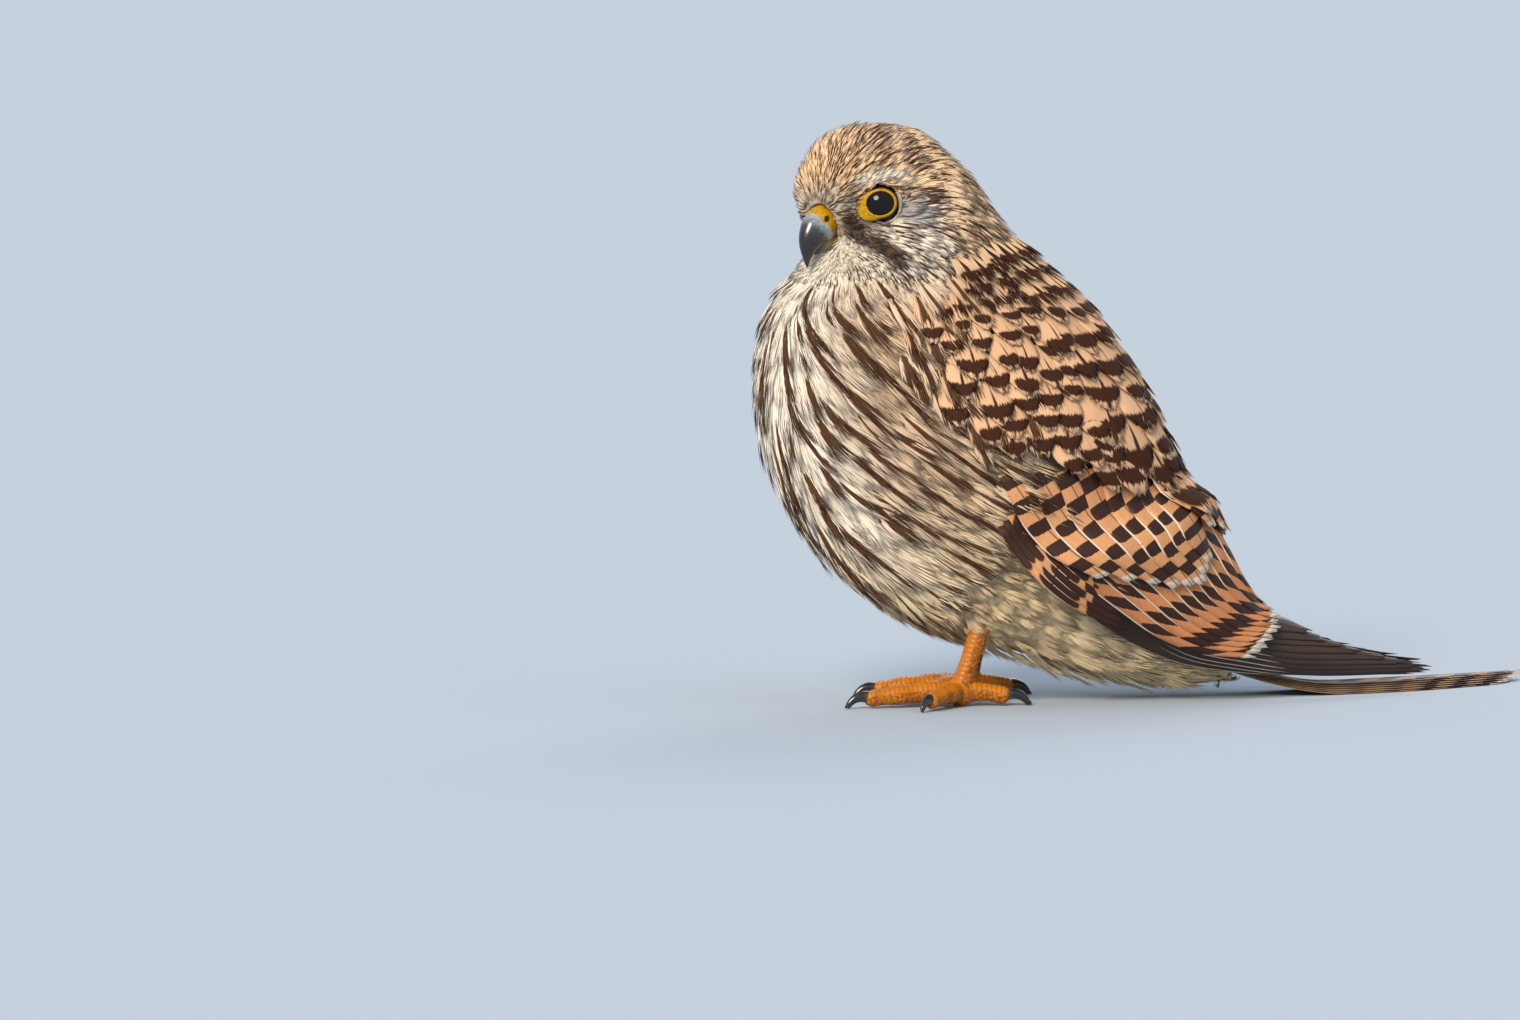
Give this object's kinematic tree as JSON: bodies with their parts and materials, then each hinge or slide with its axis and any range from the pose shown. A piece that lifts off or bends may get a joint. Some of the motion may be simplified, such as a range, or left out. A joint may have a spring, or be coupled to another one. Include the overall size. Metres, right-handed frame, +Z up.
{
  "type": "common kestrel",
  "caption": "Life-size still model of a perched female common kestrel, wings folded and tail laid along the ground, head turned to its left.",
  "frame": {"origin": "the point of the ground under the middle of the bird's whole box", "axes": "+Z up; +X towards the tail, so the bird faces -X; its left side is -Y"},
  "size_m": [0.2664, 0.0892, 0.1809],
  "materials": {
    "body_feathers": "matte cream and buff contour feathers with brown streaks",
    "head_feathers": "matte buff feathers with fine dark shaft streaks",
    "covert_feathers": "matte rufous feathers with dark brown bars",
    "barred_flight_feathers": "smooth rufous vanes with dark bars and pale edges",
    "dark_flight_feathers": "smooth dark brown vanes with thin cream edges",
    "tail_feathers": "smooth rufous-brown vanes with dark bars and a broad dark band near the tip",
    "bill_horn": "polished horn, blue-grey to black at the tip",
    "cere_skin": "waxy yellow skin",
    "eye": "wet, near black",
    "leg_skin": "scaly orange-yellow skin",
    "claw_horn": "polished black horn"
  },
  "bodies": {
    "root": {"torso": "body_feathers", "neck": "body_feathers", "thigh_left": "body_feathers", "thigh_right": "body_feathers", "head": "head_feathers", "wing_left_coverts": "covert_feathers", "wing_right_coverts": "covert_feathers", "wing_left_secondaries": "barred_flight_feathers", "wing_right_secondaries": "barred_flight_feathers", "wing_left_primaries": "dark_flight_feathers", "wing_right_primaries": "dark_flight_feathers", "tail": "tail_feathers", "bill_upper": "bill_horn", "bill_lower": "bill_horn", "cere": "cere_skin", "eye_left": "eye", "eye_right": "eye", "foot_left": "leg_skin", "foot_right": "leg_skin", "claw_left_inner": "claw_horn", "claw_left_middle": "claw_horn", "claw_left_outer": "claw_horn", "claw_left_hind": "claw_horn", "claw_right_inner": "claw_horn", "claw_right_middle": "claw_horn", "claw_right_outer": "claw_horn", "claw_right_hind": "claw_horn"}
  },
  "joints": []
}
